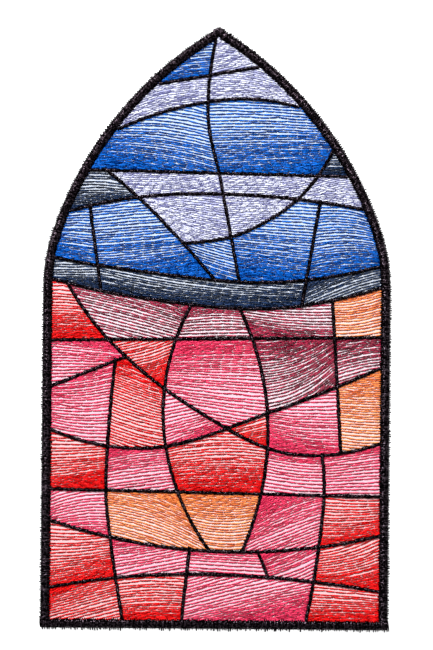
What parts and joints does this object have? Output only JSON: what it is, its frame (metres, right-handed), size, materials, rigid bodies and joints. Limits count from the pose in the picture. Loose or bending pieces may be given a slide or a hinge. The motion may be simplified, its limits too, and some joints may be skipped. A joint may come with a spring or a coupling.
{
  "type": "embroidered patch",
  "caption": "Machine-embroidered patch in the outline of a pointed-arch window: coloured fill-stitched panes, black stitched lines and a black satin border on white twill.",
  "frame": {"origin": "on the back, under the middle of the patch's box", "axes": "+Y from the picture's foot to its point, +X to the picture's right, +Z out of the stitched face"},
  "size_m": [0.1, 0.173, 0.0019],
  "materials": {
    "white_twill": "white cotton and polyester twill over tear-away backing",
    "black_thread": "black rayon embroidery thread, satin and outline stitch",
    "lavender_thread": "pale lilac rayon embroidery thread, fill stitch",
    "royal_blue_thread": "royal blue rayon embroidery thread, fill stitch",
    "navy_thread": "slate navy rayon embroidery thread, fill stitch",
    "maroon_thread": "maroon rayon embroidery thread, fill stitch",
    "red_thread": "red rayon embroidery thread, fill stitch",
    "orange_thread": "soft orange rayon embroidery thread, fill stitch",
    "rose_thread": "rose pink rayon embroidery thread, fill stitch"
  },
  "bodies": {
    "root": {"ground_cloth": "white_twill", "lead_lines": "black_thread", "pane_lavender_1": "lavender_thread", "pane_lavender_2": "lavender_thread", "pane_lavender_3": "lavender_thread", "pane_lavender_4": "lavender_thread", "pane_lavender_5": "lavender_thread", "pane_lavender_6": "lavender_thread", "pane_lavender_7": "lavender_thread", "pane_lavender_8": "lavender_thread", "pane_maroon_1": "maroon_thread", "pane_maroon_2": "maroon_thread", "pane_maroon_3": "maroon_thread", "pane_maroon_4": "maroon_thread", "pane_maroon_5": "maroon_thread", "pane_navy_1": "navy_thread", "pane_navy_2": "navy_thread", "pane_navy_3": "navy_thread", "pane_navy_4": "navy_thread", "pane_navy_5": "navy_thread", "pane_orange_1": "orange_thread", "pane_orange_2": "orange_thread", "pane_orange_3": "orange_thread", "pane_orange_4": "orange_thread", "pane_red_1": "red_thread", "pane_red_10": "red_thread", "pane_red_11": "red_thread", "pane_red_12": "red_thread", "pane_red_2": "red_thread", "pane_red_3": "red_thread", "pane_red_4": "red_thread", "pane_red_5": "red_thread", "pane_red_6": "red_thread", "pane_red_7": "red_thread", "pane_red_8": "red_thread", "pane_red_9": "red_thread", "pane_rose_1": "rose_thread", "pane_rose_10": "rose_thread", "pane_rose_11": "rose_thread", "pane_rose_12": "rose_thread", "pane_rose_13": "rose_thread", "pane_rose_14": "rose_thread", "pane_rose_2": "rose_thread", "pane_rose_3": "rose_thread", "pane_rose_4": "rose_thread", "pane_rose_5": "rose_thread", "pane_rose_6": "rose_thread", "pane_rose_7": "rose_thread", "pane_rose_8": "rose_thread", "pane_rose_9": "rose_thread", "pane_royal_blue_1": "royal_blue_thread", "pane_royal_blue_2": "royal_blue_thread", "pane_royal_blue_3": "royal_blue_thread", "pane_royal_blue_4": "royal_blue_thread", "pane_royal_blue_5": "royal_blue_thread", "pane_royal_blue_6": "royal_blue_thread", "pane_royal_blue_7": "royal_blue_thread", "pane_royal_blue_8": "royal_blue_thread", "satin_border": "black_thread"}
  },
  "joints": []
}
